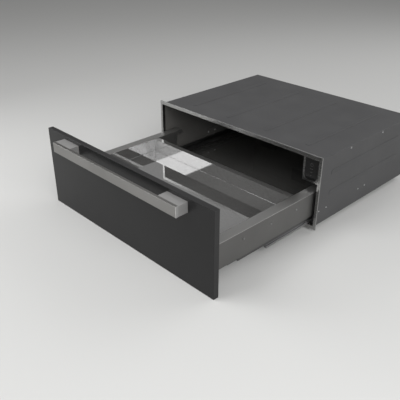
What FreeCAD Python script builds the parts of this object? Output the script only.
import os
import re

import FreeCAD
import Part
import Sketcher

# A 30 inch built-in warming drawer, pulled out on its runners. Millimetres, +Z up, +Y towards the
# back of the cabinet, origin in the middle of the casing's underside.

doc = FreeCAD.newDocument("WarmingDrawer")

SIZES = {
    # front panel, and the gap that its buffers keep from the trim when the drawer is shut
    "panel_overlap": 25.0, "panel_height": 266.0, "panel_thickness": 18.0, "panel_drop": 18.0,
    "panel_round": 1.0, "panel_gap": 4.0, "buffer_radius": 4.0, "buffer_gap": 0.3,
    # handle
    "handle_length": 567.0, "handle_height": 31.5, "bar_thickness": 9.0, "bar_round": 0.8,
    "handle_reach": 32.0, "foot_round": 0.5, "foot_length": 78.5, "handle_below_top": 10.5,
    "bolt_pitch": 40.0, "bolt_grip": 12.0,
    # casing and its trim
    "opening_width": 706.0, "opening_height": 221.0, "casing_depth": 540.0, "casing_sheet": 1.0,
    "back_tab": 12.0, "trim_sheet": 1.5, "trim_side": 10.0, "trim_rise": 12.5,
    "trim_return": 12.0, "trim_hem": 5.0, "trim_round": 0.5,
    "shelf_hole_radius": 2.5, "shelf_hole_across": 560.0, "shelf_hole_along": 420.0,
    "vent_length": 60.0, "vent_height": 4.0, "vent_pitch": 12.0, "vent_across": 95.0, "vent_base": 150.0,
    # screws that hold the lid and the back to the casing's walls
    "lid_tab": 12.0, "lid_bend": 0.9, "lid_screw_first": 160.0, "lid_screw_pitch": 187.0,
    "back_screw_rise": 40.0, "back_screw_pitch": 73.0, "rear_screw_across": 200.0,
    "casing_screw_length": 5.0,
    # drawer box
    "drawer_travel": 440.0, "side_gap": 7.0, "drawer_rise": 33.5, "side_height": 82.0,
    "ledge_width": 33.0, "ledge_drop": 12.0, "side_return": 20.0, "drawer_sheet": 1.0,
    "carrier_sheet": 2.0, "sheet_bend": 0.8, "side_length": 505.0, "basin_length": 366.0, "basin_depth": 45.0,
    "basin_corner": 2.0, "basin_bend": 1.0, "rear_rim": 18.0, "cross_sheet": 1.5,
    # tray brackets behind the ledges
    "bracket_sheet": 1.5, "tray_bracket_height": 22.0, "tray_bracket_start": 100.0,
    "tray_bracket_rise": 44.0, "side_screw_rise": 55.0, "side_screw_front": 27.0,
    "side_screw_back": 8.0,
    # heater under the basin
    "insulation_thickness": 14.0, "soft_gap": 0.3, "heater_radius": 3.25,
    "heater_stand": 3.0, "heater_pitch": 56.0, "heater_run": 500.0, "clip_width": 12.0,
    "clip_length": 14.0, "clip_across": 176.0, "fit_gap": 0.05, "thermostat_radius": 9.0,
    "thermostat_height": 6.0,
    # runners
    "runner_sheet": 1.2, "runner_play": 0.3, "runner_inset": 1.0, "runner_width": 12.0,
    "runner_height": 22.0, "runner_drop": 3.5, "rail_fence": 11.5, "middle_foot": 7.0,
    "middle_stem": 2.0, "member_height": 12.0, "rail_length": 500.0, "rail_setback": 6.5,
    "middle_length": 395.0, "member_length": 395.0,
    # release levers at the runners' front ends
    "latch_length": 35.0, "latch_width": 17.0, "latch_housing": 7.0, "latch_lever": 9.5,
    "latch_gap": 0.3, "latch_side_gap": 1.8, "latch_lead": 30.0, "latch_pin_radius": 2.0,
    "latch_pin_inset": 6.0,
    # rail brackets on the casing's walls
    "rail_bracket_length": 52.0, "rail_bracket_height": 53.0, "wall_screw_rise": 46.0,
    "wall_screw_pitch": 39.0, "rail_bracket_front": 40.0, "rail_bracket_rear": 261.0,
    # controls in the top corner of the opening
    "housing_width": 64.0, "housing_height": 84.0, "housing_length": 120.0, "glass_thickness": 2.0,
    "glass_border": 8.0, "glass_corner": 14.0, "board_thickness": 1.6, "board_border": 8.0,
    "pillar_radius": 2.5, "pillar_height": 12.0, "pillar_inset": 6.0,
    # mains terminals and gland
    "terminal_across": 260.0, "terminal_width": 80.0, "terminal_height": 50.0,
    "terminal_depth": 24.0, "terminal_rise": 30.0, "gland_bore": 4.0, "gland_radius": 8.0,
    "gland_collar": 12.0, "gland_collar_length": 4.0, "gland_length": 16.0, "gland_inside": 6.0,
    # fasteners
    "screw_radius": 2.0, "screw_head": 3.6, "screw_head_height": 2.0, "screw_length": 10.0,
    "screw_gap": 0.1, "bolt_radius": 2.5, "bolt_head": 4.5, "bolt_head_height": 3.0,
    "panel_screw_depth": 10.0, "panel_screw_low": 26.0, "panel_screw_high": 66.0,
    "panel_screw_inset": 15.0,
}

# Planes and centres that several pieces share, each worked out from the sizes above.
PLACES = {
    "floor_z": "casing_sheet",
    "opening_low": "floor_z + trim_sheet",
    "opening_high": "opening_low + opening_height",
    "ceiling_z": "opening_high + trim_sheet",
    "casing_high": "ceiling_z + casing_sheet",
    "opening_x": "opening_width / 2",
    "wall_x": "opening_x + trim_sheet",
    "casing_x": "wall_x + casing_sheet",
    "lid_x": "casing_x + casing_sheet",
    "front_y": "-casing_depth / 2",
    "rear_y": "casing_depth / 2",
    "back_y": "rear_y - casing_sheet",
    "lid_y": "rear_y + casing_sheet",
    "lid_screw_z": "casing_high - lid_tab / 2",
    "trim_y": "front_y - trim_sheet",
    "lip_y": "trim_y + trim_return",
    "panel_x": "opening_x + panel_overlap",
    "panel_back": "trim_y - panel_gap - drawer_travel",
    "panel_front": "panel_back - panel_thickness",
    "panel_middle": "panel_height / 2 - panel_drop",
    "handle_high": "panel_height - panel_drop - handle_below_top",
    "handle_middle": "handle_high - handle_height / 2",
    "bar_back": "panel_front - handle_reach",
    "foot_x": "handle_length / 2 - foot_length / 2",
    "side_x": "opening_x - side_gap",
    "skin_x": "side_x - drawer_sheet",
    "basin_x": "side_x - ledge_width",
    "side_low": "opening_low + drawer_rise",
    "return_high": "side_low + drawer_sheet",
    "pan_high": "return_high + drawer_sheet",
    "ledge_z": "side_low + side_height",
    "ledge_under": "ledge_z - drawer_sheet",
    "basin_low": "ledge_z - basin_depth - drawer_sheet",
    "carrier_y": "panel_back + carrier_sheet",
    "side_rear": "carrier_y + side_length",
    "basin_rear": "carrier_y + basin_length",
    "rim_rear": "basin_rear + rear_rim - drawer_sheet",
    "cross_rear": "rim_rear + cross_sheet",
    "soft_x": "basin_x - soft_gap",
    "insulation_high": "pan_high + insulation_thickness",
    "reflector_high": "insulation_high + drawer_sheet",
    "heater_z": "reflector_high + heater_stand + heater_radius",
    "heater_y": "(carrier_y + basin_rear) / 2",
    "rail_x": "side_x - runner_inset",
    "rail_inner": "rail_x - runner_width",
    "rail_high": "side_low - runner_drop",
    "rail_low": "rail_high - runner_height",
    "rail_front": "front_y + rail_setback",
    "stem_x": "rail_x - runner_width / 2",
    "member_rear": "side_rear",
    "member_front": "member_rear - member_length",
    "middle_front": "rail_front - drawer_travel / 2",
    "latch_x": "rail_inner - latch_side_gap",
    "latch_y": "member_front - latch_lead",
    "latch_middle": "side_low - latch_housing - latch_gap",
    "terminal_x": "-terminal_across",
    "gland_z": "terminal_rise + terminal_height / 2",
    "housing_x": "opening_x - housing_width",
    "housing_low": "opening_high - housing_height",
    "housing_middle": "opening_high - housing_height / 2",
    "glass_x": "opening_x - housing_width / 2",
    "board_y": "lip_y + casing_sheet + pillar_height",
    "tray_bracket_y": "carrier_y + tray_bracket_start",
    "tray_bracket_low": "side_low + tray_bracket_rise",
    "side_screw_start": "tray_bracket_y + side_screw_front",
    "side_screw_pitch": "(basin_rear - side_screw_back - side_screw_start) / 2",
}

sizes = doc.addObject("Spreadsheet::Sheet", "Sizes")
for row, (alias, number) in enumerate(SIZES.items(), start=1):
    sizes.set(f"A{row}", alias)
    sizes.set(f"B{row}", str(number))
    sizes.setAlias(f"B{row}", alias)

# Two lengths closer than this are the same.
TOUCH = 1e-4

# Half the side of a rectangle before its size is bound to the tables.
DRAFT_HALF = 9.0

WORD = re.compile(r"[a-z][a-z_]+")


def bound(formula):
    """A formula of size and place names, as an expression that the document can follow."""
    def swap(match):
        word = match.group(0)
        return f"Sizes.{word}" if word in SIZES else f"Places.{word}"
    return WORD.sub(swap, formula)


places = doc.addObject("Spreadsheet::Sheet", "Places")
for row, (alias, formula) in enumerate(PLACES.items(), start=1):
    places.set(f"A{row}", alias)
    places.set(f"B{row}", "=" + bound(formula).replace("Places.", ""))
    places.setAlias(f"B{row}", alias)
doc.recompute()

nodes = []


def node(name, item):
    """Names a finished piece and puts it on the list of pieces."""
    item.Label = name
    nodes.append(item)
    return item


def block(x, y, z):
    """A box between two planes on each axis."""
    item = doc.addObject("Part::Box", "Block")
    for side, axis, (low, high) in zip(("Length", "Width", "Height"), "xyz", (x, y, z)):
        item.setExpression(side, bound(f"({high}) - ({low})"))
        item.setExpression(f"Placement.Base.{axis}", bound(low))
    return item


ROD_TURNS = {
    "x": FreeCAD.Rotation(FreeCAD.Vector(0, 1, 0), 90),
    "y": FreeCAD.Rotation(FreeCAD.Vector(1, 0, 0), -90),
    "z": FreeCAD.Rotation(),
}


def rod(axis, span, centre, radius):
    """A cylinder along one axis between two planes; centre gives the other two coordinates."""
    item = doc.addObject("Part::Cylinder", "Rod")
    item.Placement = FreeCAD.Placement(FreeCAD.Vector(), ROD_TURNS[axis])
    item.setExpression("Radius", bound(radius))
    item.setExpression("Height", bound(f"({span[1]}) - ({span[0]})"))
    item.setExpression(f"Placement.Base.{axis}", bound(span[0]))
    for letter, place in zip("xyz".replace(axis, ""), centre):
        item.setExpression(f"Placement.Base.{letter}", bound(place))
    return item


def fused(*items):
    """One solid from several that touch."""
    item = doc.addObject("Part::MultiFuse", "Fused")
    item.Shapes = list(items)
    item.Refine = True
    return item


def group(*items):
    """Several separate solids kept in one piece of the list."""
    item = doc.addObject("Part::Compound", "Group")
    item.Links = list(items)
    return item


def cut(base, *tools):
    """The base less every tool."""
    item = doc.addObject("Part::Cut", "Cut")
    item.Base = base
    item.Tool = tools[0] if len(tools) == 1 else group(*tools)
    return item


def mirrored(sign, low, high):
    """Two planes given for the right-hand side (1), or the same two on the left (-1)."""
    return (low, high) if sign > 0 else (f"-({high})", f"-({low})")


def signed(sign, formula):
    return formula if sign > 0 else f"-({formula})"


def either_side(formula):
    """The two planes at the same distance left and right of the middle."""
    return f"-({formula})", formula


def around(centre, half):
    """The two planes at the same distance either side of a centre."""
    return f"({centre}) - ({half})", f"({centre}) + ({half})"


def shifted(formula, sign, amount):
    return f"({formula}) {'+' if sign > 0 else '-'} ({amount})"


def pan_head(axis, seat, sign, centre, kind, length):
    """A screw whose head stands on the seat plane, on the side that sign gives."""
    head = [seat, shifted(seat, sign, f"{kind}_head_height")][::sign]
    shank = [shifted(seat, -sign, length), seat][::sign]
    return fused(rod(axis, head, centre, f"{kind}_head"), rod(axis, shank, centre, f"{kind}_radius"))


def screw_hole(axis, span, centre, kind):
    return rod(axis, span, centre, f"{kind}_radius + screw_gap")


SIDES = (("left", -1), ("right", 1))


def new_body(name, x, y, z):
    """A PartDesign body whose origin stands at the given place."""
    item = doc.addObject("PartDesign::Body", name)
    for axis, place in zip("xyz", (x, y, z)):
        item.setExpression(f"Placement.Base.{axis}", bound(place))
    return item


def new_sketch(body, role, rise=None):
    """A sketch on one of the body's own origin planes, raised above it where rise is given."""
    sketch = body.newObject("Sketcher::SketchObject", "Sketch")
    sketch.AttachmentSupport = [(next(f for f in body.Origin.OriginFeatures if f.Role == role), "")]
    sketch.MapMode = "FlatFace"
    if rise:
        sketch.setExpression(".AttachmentOffset.Base.z", bound(rise))
    return sketch


def rectangle(sketch, width, height):
    """A rectangle centred on the sketch's origin, with its two sides bound."""
    corners = [
        FreeCAD.Vector(x * DRAFT_HALF, y * DRAFT_HALF, 0) for x, y in ((-1, -1), (1, -1), (1, 1), (-1, 1))
    ]
    for index in range(4):
        sketch.addGeometry(Part.LineSegment(corners[index], corners[(index + 1) % 4]), False)
    for index in range(4):
        sketch.addConstraint(Sketcher.Constraint("Coincident", index, 2, (index + 1) % 4, 1))
        direction = "Vertical" if index % 2 else "Horizontal"
        sketch.addConstraint(Sketcher.Constraint(direction, index))
    sketch.addConstraint(Sketcher.Constraint("Symmetric", 0, 1, 1, 2, -1, 1))
    for edge, kind, formula in ((0, "DistanceX", width), (1, "DistanceY", height)):
        index = sketch.addConstraint(Sketcher.Constraint(kind, edge, 1, edge, 2, 2 * DRAFT_HALF))
        sketch.setExpression(f"Constraints[{index}]", bound(formula))


def pad(body, sketch, length):
    feature = body.newObject("PartDesign::Pad", "Pad")
    feature.Profile = sketch
    feature.setExpression("Length", bound(length))
    sketch.Visibility = False
    doc.recompute()
    return feature


def pocket_up(body, sketch, length):
    """A pocket that runs upwards from its sketch, and is checked to take material away."""
    before = body.Shape.Volume
    feature = body.newObject("PartDesign::Pocket", "Pocket")
    feature.Profile = sketch
    feature.Reversed = True
    feature.setExpression("Length", bound(length))
    doc.recompute()
    if body.Shape.Volume >= before:
        raise RuntimeError(f"{body.Name}: the pocket cuts nothing")
    return feature


def round_edges(body, base, radius, wanted):
    """Rounds those edges of a feature for which wanted(edge) holds."""
    chosen = [f"Edge{index}" for index, edge in enumerate(base.Shape.Edges, start=1) if wanted(edge)]
    feature = body.newObject("PartDesign::Fillet", "Fillet")
    feature.Base = (base, chosen)
    feature.setExpression("Radius", bound(radius))
    doc.recompute()
    return feature


def rounded(item, radius, wanted):
    """A body that takes a cut or fused solid and rounds those edges of it for which wanted(edge) holds.
    A bare block would lose its place."""
    body = doc.addObject("PartDesign::Body", "Rounded")
    body.BaseFeature = item
    doc.recompute()
    round_edges(body, body.Group[0], radius, wanted)
    return body


def runs_along(edge, axis):
    """Whether a straight edge runs along one axis."""
    box = edge.BoundBox
    lengths = {"x": box.XLength, "y": box.YLength, "z": box.ZLength}
    return lengths.pop(axis) > TOUCH and max(lengths.values()) < TOUCH


# --- casing ------------------------------------------------------------------------------------

def casing():
    depth = ("front_y", "rear_y")
    holes = [
        rod("z", ("-casing_sheet", "2 * casing_sheet"), (x, y), "shelf_hole_radius")
        for x in either_side("shelf_hole_across / 2")
        for y in either_side("shelf_hole_along / 2")
    ]
    node("casing_base", cut(block(either_side("casing_x"), depth, ("0", "floor_z")), *holes))
    for side, sign in SIDES:
        holes = [
            screw_hole("x", mirrored(sign, "opening_x", "casing_x + casing_sheet"), centre, "screw")
            for centre in wall_screw_centres() + lid_screw_centres() + back_screw_centres()
        ]
        plate = block(mirrored(sign, "wall_x", "casing_x"), depth, ("floor_z", "ceiling_z"))
        node(f"casing_side_{side}", cut(plate, *holes))
    casing_lid()
    casing_back()
    casing_screws()
    trim_frame()


def lid_screw_centres():
    """The y and z of the screws in each side tab of the lid."""
    first = "front_y + lid_screw_first"
    return [(y, "lid_screw_z") for y in (first, f"{first} + lid_screw_pitch")]


def lid_rear_centres():
    """The x and z of the screws in the lid's rear tab."""
    return [(f"{column} * rear_screw_across", "lid_screw_z") for column in (-1, 0, 1)]


def back_screw_centres():
    """The y and z of the screws from each wall into the back's side tabs."""
    return [("rear_y - back_tab / 2", f"back_screw_rise + {row} * back_screw_pitch") for row in range(3)]


def casing_lid():
    """The top sheet, folded down outside the walls and the back."""
    depth = ("front_y", "lid_y")
    tab = ("casing_high - lid_tab", "casing_high")
    plate = block(either_side("lid_x"), depth, ("ceiling_z", "casing_high"))
    tabs = [block(mirrored(sign, "casing_x", "lid_x"), depth, tab) for _, sign in SIDES]
    rear_tab = block(either_side("lid_x"), ("rear_y", "lid_y"), tab)
    top = places.get("casing_high")
    front = places.get("front_y")
    lid = rounded(
        fused(plate, rear_tab, *tabs), "lid_bend",
        lambda edge: edge.BoundBox.ZMin > top - TOUCH and edge.BoundBox.YMax > front + TOUCH,
    )
    side_holes = [
        screw_hole("x", either_side("lid_x + casing_sheet"), at, "screw") for at in lid_screw_centres()
    ]
    rear_holes = [
        screw_hole("y", ("back_y", "lid_y + casing_sheet"), at, "screw") for at in lid_rear_centres()
    ]
    node("casing_top", cut(lid, *side_holes, *rear_holes))


def casing_screws():
    side_screws = [
        pan_head("x", signed(sign, seat), sign, at, "screw", "casing_screw_length")
        for _, sign in SIDES
        for seat, centres in (("lid_x", lid_screw_centres()), ("casing_x", back_screw_centres()))
        for at in centres
    ]
    rear_screws = [
        pan_head("y", "lid_y", 1, at, "screw", "casing_screw_length") for at in lid_rear_centres()
    ]
    node("casing_screws", group(*side_screws, *rear_screws))


def casing_back():
    """A shallow pan whose tabs lie against the inside of the casing."""
    outer = block(either_side("wall_x"), ("rear_y - back_tab", "rear_y"), ("floor_z", "ceiling_z"))
    inner = block(
        either_side("wall_x - casing_sheet"), ("rear_y - 2 * back_tab", "back_y"),
        ("floor_z + casing_sheet", "ceiling_z - casing_sheet"),
    )
    through = ("back_y - casing_sheet", "rear_y + casing_sheet")
    slots = [
        block(
            around(across, "vent_length / 2"), through,
            (f"vent_base + {row} * vent_pitch", f"vent_base + {row} * vent_pitch + vent_height"),
        )
        for across in either_side("vent_across") for row in range(4)
    ]
    gland_hole = rod("y", through, ("terminal_x", "gland_z"), "gland_radius")
    screw_holes = [screw_hole("x", either_side("casing_x"), at, "screw") for at in back_screw_centres()]
    screw_holes += [screw_hole("y", through, at, "screw") for at in lid_rear_centres()]
    node("casing_back", cut(outer, inner, gland_hole, *slots, *screw_holes))


def trim_frame():
    """The bright flange round the opening. Its return slips inside the casing, and its outer edge is
    folded back into a hem, which is what lies on the cabinet."""
    width = either_side("opening_x + trim_side")
    height = ("opening_low - trim_rise", "opening_high + trim_rise")
    face = block(width, ("trim_y", "front_y"), height)
    hem = block(width, ("front_y", "front_y + trim_sheet"), height)
    inside_hem = block(
        either_side("opening_x + trim_side - trim_hem"), ("front_y", "front_y + 2 * trim_sheet"),
        (f"{height[0]} + trim_hem", f"{height[1]} - trim_hem"),
    )
    lip = block(either_side("wall_x"), ("front_y", "lip_y"), ("floor_z", "ceiling_z"))
    mouth = block(
        either_side("opening_x"), ("trim_y - trim_sheet", "lip_y + trim_sheet"),
        ("opening_low", "opening_high"),
    )
    frame = cut(fused(face, cut(hem, inside_hem), lip), mouth)
    front = places.get("trim_y")
    node("trim_frame", rounded(frame, "trim_round", lambda edge: edge.BoundBox.YMax - front < TOUCH))


def wall_screw_centres():
    return [
        (y, "floor_z + wall_screw_rise")
        for bracket in ("rail_bracket_front", "rail_bracket_rear")
        for y in around(f"front_y + {bracket}", "wall_screw_pitch / 2")
    ]


def rail_brackets():
    """Angles that carry each rail off the wall, two a side, with their screws."""
    screws = []
    for side, sign in SIDES:
        pair = []
        for bracket in ("rail_bracket_front", "rail_bracket_rear"):
            along = around(f"front_y + {bracket}", "rail_bracket_length / 2")
            plate = block(
                mirrored(sign, "opening_x", "wall_x"), along,
                ("rail_low - bracket_sheet", "rail_low + rail_bracket_height - bracket_sheet"),
            )
            shelf = block(
                mirrored(sign, "rail_inner", "opening_x"), along,
                ("rail_low - bracket_sheet", "rail_low"),
            )
            pair.append(fused(plate, shelf))
        holes = [
            screw_hole("x", mirrored(sign, "side_x", "wall_x + casing_sheet"), centre, "screw")
            for centre in wall_screw_centres()
        ]
        node(f"rail_brackets_{side}", cut(group(*pair), *holes))
        screws += [
            pan_head("x", signed(sign, "opening_x"), -sign, centre, "screw", "trim_sheet + casing_sheet")
            for centre in wall_screw_centres()
        ]
    node("wall_screws", group(*screws))


# --- runners -----------------------------------------------------------------------------------

def runner_rail(sign):
    """The cabinet's member: a trough with a tall wall outside and a low fence inside."""
    along = ("rail_front", "rail_front + rail_length")
    return fused(
        block(mirrored(sign, "rail_inner", "rail_x"), along, ("rail_low", "rail_low + runner_sheet")),
        block(mirrored(sign, "rail_x - runner_sheet", "rail_x"), along, ("rail_low", "rail_high")),
        block(
            mirrored(sign, "rail_inner", "rail_inner + runner_sheet"), along,
            ("rail_low", "rail_low + rail_fence"),
        ),
    )


def runner_middle(sign):
    """The middle member: a foot that runs in the trough, with a stem that the drawer's member rides."""
    along = ("middle_front", "middle_front + middle_length")
    low = "rail_low + runner_sheet + runner_play"
    inset = "(runner_sheet + runner_play)"
    stem = block(
        around(signed(sign, "stem_x"), "middle_stem / 2"), along,
        (low, "side_low - runner_sheet - runner_play"),
    )
    foot = block(
        mirrored(sign, f"rail_inner + {inset}", f"rail_x - {inset}"), along, (low, f"{low} + middle_foot")
    )
    return fused(foot, stem)


def runner_member(sign):
    """The drawer's member: a cap that hangs over the middle member's stem."""
    along = ("member_front", "member_rear")
    half = "middle_stem / 2 + runner_play"
    height = ("side_low - member_height", "side_low")
    cap = block(around(signed(sign, "stem_x"), f"{half} + runner_sheet"), along, height)
    groove = block(
        around(signed(sign, "stem_x"), half), ("member_front - runner_sheet", "member_rear + runner_sheet"),
        ("side_low - 2 * member_height", "side_low - runner_sheet"),
    )
    return cut(cap, groove)


def runners():
    for side, sign in SIDES:
        node(f"runner_rail_{side}", runner_rail(sign))
        node(f"runner_middle_{side}", runner_middle(sign))
        node(f"runner_member_{side}", runner_member(sign))
        release_lever(side, sign)


def release_lever(side, sign):
    """The catch that lets the drawer off its runner: a housing under the side, and its lever."""
    across = mirrored(sign, "latch_x - latch_width", "latch_x")
    along = ("latch_y", "latch_y + latch_length")
    pivot = (signed(sign, "latch_x - latch_width / 2"), "latch_y + latch_length - latch_pin_inset")
    housing = block(across, along, ("side_low - latch_housing", "side_low"))
    bore = rod("z", ("latch_middle", "side_low + latch_gap"), pivot, "latch_pin_radius + fit_gap")
    node(f"latch_housing_{side}", cut(housing, bore))
    arm = block(across, along, ("latch_middle - latch_lever", "latch_middle"))
    pin = rod("z", ("latch_middle", "side_low - latch_gap"), pivot, "latch_pin_radius")
    node(f"latch_lever_{side}", fused(arm, pin))


# --- drawer front ------------------------------------------------------------------------------

def front_panel():
    body = new_body("PanelBoard", "0", "panel_back", "panel_middle")
    sketch = new_sketch(body, "XZ_Plane")
    rectangle(sketch, "2 * panel_x", "panel_height")
    board = pad(body, sketch, "panel_thickness")
    round_edges(
        body, board, "panel_round",
        lambda edge: abs(edge.CenterOfMass.y - board.Shape.BoundBox.YMin) < TOUCH,
    )
    return body


def drawer_front():
    bolts = [
        (x, "handle_middle")
        for sign in (-1, 1) for x in around(signed(sign, "foot_x"), "bolt_pitch / 2")
    ]
    sink = "panel_back - bolt_head_height"
    shanks = [screw_hole("y", ("panel_front - bolt_grip", "panel_back"), at, "bolt") for at in bolts]
    heads = [rod("y", (sink, "panel_back + screw_gap"), at, "bolt_head + screw_gap") for at in bolts]
    pilots = [
        screw_hole("y", ("panel_back - panel_screw_depth", "panel_back + carrier_sheet"), at, "screw")
        for at in panel_screw_centres()
    ]
    node("front_panel", cut(front_panel(), *shanks, *heads, *pilots))

    handle_z = around("handle_middle", "handle_height / 2")
    for side, sign in SIDES:
        foot = block(around(signed(sign, "foot_x"), "foot_length / 2"), ("bar_back", "panel_front"), handle_z)
        near = bolts[:2] if sign < 0 else bolts[2:]
        holes = [
            screw_hole("y", ("panel_front - bolt_grip", "panel_front + screw_gap"), at, "bolt")
            for at in near
        ]
        drilled = cut(foot, *holes)
        node(f"handle_foot_{side}", rounded(
            drilled, "foot_round",
            lambda edge: edge.BoundBox.YLength > drilled.Shape.BoundBox.YLength - TOUCH,
        ))
    handle_bar()
    node("handle_bolts", group(*[
        pan_head("y", sink, 1, at, "bolt", "panel_thickness - bolt_head_height + bolt_grip - screw_gap")
        for at in bolts
    ]))
    node("panel_buffers", group(*[
        rod("y", ("panel_back", "panel_back + panel_gap - buffer_gap"), (x, z), "buffer_radius")
        for x in either_side("opening_x + trim_side / 2")
        for z in ("opening_low - trim_rise / 2", "opening_high + trim_rise / 2")
    ]))


def handle_bar():
    body = new_body("handle_bar", "0", "bar_back", "handle_middle")
    sketch = new_sketch(body, "XZ_Plane")
    rectangle(sketch, "handle_length", "handle_height")
    bar = pad(body, sketch, "bar_thickness")
    round_edges(
        body, bar, "bar_round",
        lambda edge: abs(edge.CenterOfMass.y - bar.Shape.BoundBox.YMin) < TOUCH,
    )
    node("handle_bar", body)


def panel_screw_centres():
    outer = "skin_x - panel_screw_inset"
    low, high = "side_low + panel_screw_low", "side_low + panel_screw_high"
    return [(x, z) for x in either_side(outer) for z in (low, high)] + [("0", low)]


# --- drawer box --------------------------------------------------------------------------------

def carrier():
    plate = block(either_side("side_x"), ("panel_back", "carrier_y"), ("side_low", "ledge_z"))
    holes = [
        screw_hole("y", ("panel_back - screw_gap", "carrier_y + screw_gap"), at, "screw")
        for at in panel_screw_centres()
    ]
    node("drawer_carrier", cut(plate, *holes))
    node("panel_screws", group(*[
        pan_head("y", "carrier_y", 1, at, "screw", "screw_length") for at in panel_screw_centres()
    ]))


def side_screw_centres():
    return [
        (f"side_screw_start + {step} * side_screw_pitch", "side_low + side_screw_rise")
        for step in range(3)
    ]


def at_outer_bend(edge, sign):
    """Whether an edge is one of the three outer corners where a side's sheet is bent."""
    across, height = edge.CenterOfMass.x * sign, edge.CenterOfMass.z
    bends = (("side_x", "ledge_z"), ("basin_x", "ledge_z"), ("side_x", "side_low"))
    return any(
        abs(across - places.get(x)) < TOUCH and abs(height - places.get(z)) < TOUCH for x, z in bends
    )


def drawer_sides():
    """Each side is a long channel: skin, ledge with a drop at the basin, and a return below."""
    along = ("carrier_y", "side_rear")
    screws = []
    for side, sign in SIDES:
        skin = block(mirrored(sign, "skin_x", "side_x"), along, ("side_low", "ledge_z"))
        ledge = block(mirrored(sign, "basin_x", "side_x"), along, ("ledge_under", "ledge_z"))
        drop = block(
            mirrored(sign, "basin_x", "basin_x + drawer_sheet"), along,
            ("ledge_z - ledge_drop", "ledge_z"),
        )
        foot = block(mirrored(sign, "side_x - side_return", "side_x"), along, ("side_low", "return_high"))
        holes = [
            screw_hole("x", mirrored(sign, "skin_x - drawer_sheet", "side_x + drawer_sheet"), at, "screw")
            for at in side_screw_centres()
        ]
        channel = rounded(
            fused(skin, ledge, drop, foot), "sheet_bend",
            lambda edge: runs_along(edge, "y") and at_outer_bend(edge, sign),
        )
        node(f"drawer_side_{side}", cut(channel, *holes))

        reach = ("tray_bracket_y", "basin_rear")
        leg = block(
            mirrored(sign, "skin_x - bracket_sheet", "skin_x"), reach,
            ("tray_bracket_low", "tray_bracket_low + tray_bracket_height"),
        )
        arm = block(
            mirrored(sign, "basin_x", "skin_x"), reach,
            ("tray_bracket_low", "tray_bracket_low + bracket_sheet"),
        )
        holes = [
            screw_hole("x", mirrored(sign, "skin_x - 2 * bracket_sheet", "side_x"), at, "screw")
            for at in side_screw_centres()
        ]
        node(f"tray_bracket_{side}", cut(fused(leg, arm), *holes))
        screws += [
            pan_head("x", signed(sign, "side_x"), sign, at, "screw", "screw_length / 2")
            for at in side_screw_centres()
        ]
    node("side_screws", group(*screws))


def basin():
    """The bright tray: a pressed basin with a flat rim behind it."""
    middle = "(carrier_y + basin_rear) / 2"
    body = new_body("BasinPressing", "0", middle, "basin_low")
    outline = new_sketch(body, "XY_Plane")
    rectangle(outline, "2 * basin_x", "basin_length")
    pad(body, outline, "basin_depth + drawer_sheet")
    inside = new_sketch(body, "XY_Plane", "drawer_sheet")
    rectangle(inside, "2 * (basin_x - drawer_sheet)", "basin_length - 2 * drawer_sheet")
    hollow = pocket_up(body, inside, "2 * basin_depth")
    depth = sizes.get("basin_depth")
    corners = round_edges(
        body, hollow, "basin_corner",
        lambda edge: abs(edge.Length - depth) < TOUCH,
    )
    sheet = sizes.get("drawer_sheet")
    round_edges(
        body, corners, "basin_bend",
        lambda edge: abs(edge.BoundBox.ZMax - sheet) + abs(edge.BoundBox.ZMin - sheet) < TOUCH,
    )
    along = ("basin_rear - drawer_sheet / 2", "rim_rear")
    rim = block(either_side("basin_x"), along, ("ledge_under", "ledge_z"))
    node("tray_basin", fused(body, rim))


def under_tray():
    """What lies below the basin: the pan, insulation, reflector and heater."""
    node("underpan", block(either_side("skin_x"), ("carrier_y", "rim_rear"), ("return_high", "pan_high")))
    node("rear_crosspiece", block(
        either_side("basin_x"), ("rim_rear", "cross_rear"), ("return_high", "ledge_z"),
    ))
    along = ("carrier_y + soft_gap", "rim_rear - soft_gap")
    node("insulation_pad", block(either_side("soft_x"), along, ("pan_high", "insulation_high")))
    node("heat_reflector", block(either_side("soft_x"), along, ("insulation_high", "reflector_high")))
    heater()
    thermostat = rod(
        "z", ("basin_low - thermostat_height", "basin_low"),
        ("0", "heater_y"), "thermostat_radius",
    )
    node("thermostat", thermostat)


HEATER_RUNS = 6


def heater():
    """A tube that goes to and fro in level runs, held down by saddles on the reflector."""
    runs = [f"heater_y + {index - (HEATER_RUNS - 1) / 2} * heater_pitch" for index in range(HEATER_RUNS)]
    tube = [
        rod("x", either_side("heater_run / 2"), (y, "heater_z"), "heater_radius") for y in runs
    ]
    for index in range(HEATER_RUNS - 1):
        sign = 1 if index % 2 == 0 else -1
        bend = doc.addObject("Part::Torus", "Bend")
        bend.Angle3 = 180
        bend.Placement = FreeCAD.Placement(
            FreeCAD.Vector(), FreeCAD.Rotation(FreeCAD.Vector(0, 0, 1), -90 * sign)
        )
        bend.setExpression("Radius1", bound("heater_pitch / 2"))
        bend.setExpression("Radius2", bound("heater_radius"))
        centre = (signed(sign, "heater_run / 2"), f"{runs[index]} + heater_pitch / 2", "heater_z")
        for axis, place in zip("xyz", centre):
            bend.setExpression(f"Placement.Base.{axis}", bound(place))
        tube.append(bend)
    node("heating_element", fused(*tube))
    saddles = [
        block(around(x, "clip_width / 2"), around(y, "clip_length / 2"), ("reflector_high", "heater_z"))
        for x in either_side("clip_across") for y in runs
    ]
    grooves = [
        rod("x", either_side("heater_run / 2"), (y, "heater_z"), "heater_radius + fit_gap") for y in runs
    ]
    node("element_saddles", cut(group(*saddles), *grooves))


# --- controls and mains ------------------------------------------------------------------------

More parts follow.
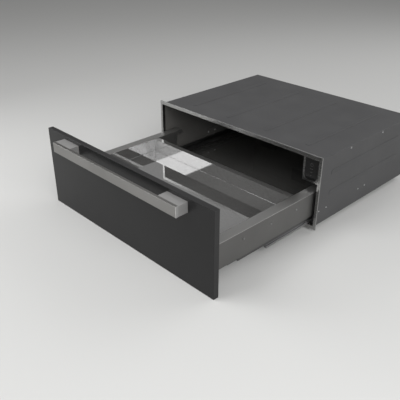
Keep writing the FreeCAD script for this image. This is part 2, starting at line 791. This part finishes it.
def controls():
    width, depth = ("housing_x", "wall_x"), ("lip_y", "lip_y + housing_length")
    shell = block(width, depth, ("housing_low", "ceiling_z"))
    inside = block(
        ("housing_x + casing_sheet", "wall_x - casing_sheet"),
        ("lip_y + casing_sheet", "lip_y + housing_length - casing_sheet"),
        ("housing_low + casing_sheet", "ceiling_z - casing_sheet"),
    )
    node("control_housing", cut(shell, inside))

    body = new_body("control_glass", "glass_x", "lip_y", "housing_middle")
    sketch = new_sketch(body, "XZ_Plane")
    rectangle(sketch, "housing_width - 2 * glass_border", "housing_height - 2 * glass_border")
    pane = pad(body, sketch, "glass_thickness")
    low = pane.Shape.BoundBox.ZMin
    round_edges(
        body, pane, "glass_corner",
        lambda edge: edge.BoundBox.ZMax - low < TOUCH and edge.BoundBox.YLength > TOUCH
        and edge.BoundBox.XLength < TOUCH,
    )
    node("control_glass", body)

    board_x = ("housing_x + board_border", "opening_x - board_border")
    board_z = ("housing_low + board_border", "opening_high - board_border")
    node("control_board", block(board_x, ("board_y", "board_y + board_thickness"), board_z))
    node("board_pillars", group(*[
        rod("y", ("lip_y + casing_sheet", "board_y"), (x, z), "pillar_radius")
        for x in (f"{board_x[0]} + pillar_inset", f"{board_x[1]} - pillar_inset")
        for z in (f"{board_z[0]} + pillar_inset", f"{board_z[1]} - pillar_inset")
    ]))


def mains():
    centre = ("terminal_x", "gland_z")
    box = block(
        around("terminal_x", "terminal_width / 2"), ("back_y - terminal_depth", "back_y"),
        ("terminal_rise", "terminal_rise + terminal_height"),
    )
    inside = block(
        around("terminal_x", "terminal_width / 2 - drawer_sheet"),
        ("back_y - terminal_depth + drawer_sheet", "back_y + drawer_sheet"),
        ("terminal_rise + drawer_sheet", "terminal_rise + terminal_height - drawer_sheet"),
    )
    node("terminal_cover", cut(box, inside))
    stem = rod("y", ("back_y - gland_inside", "rear_y + gland_length"), centre, "gland_radius - fit_gap")
    collar = rod("y", ("rear_y", "rear_y + gland_collar_length"), centre, "gland_collar")
    bore = rod("y", ("back_y - 2 * gland_inside", "rear_y + 2 * gland_length"), centre, "gland_bore")
    node("cord_gland", cut(fused(stem, collar), bore))


casing()
rail_brackets()
runners()
drawer_front()
carrier()
drawer_sides()
basin()
under_tray()
controls()
mains()

doc.recompute()
for item in doc.Objects:
    if "Invalid" in item.State or "Error" in item.State:
        raise RuntimeError(f"{item.Label} did not build: {item.State}")
for item in nodes:
    if item.Shape.isNull() or not item.Shape.isValid():
        raise RuntimeError(f"{item.Label} has no valid shape")
os.makedirs("parts", exist_ok=True)
for item in nodes:
    item.Shape.exportStep(f"parts/{item.Label}.step")
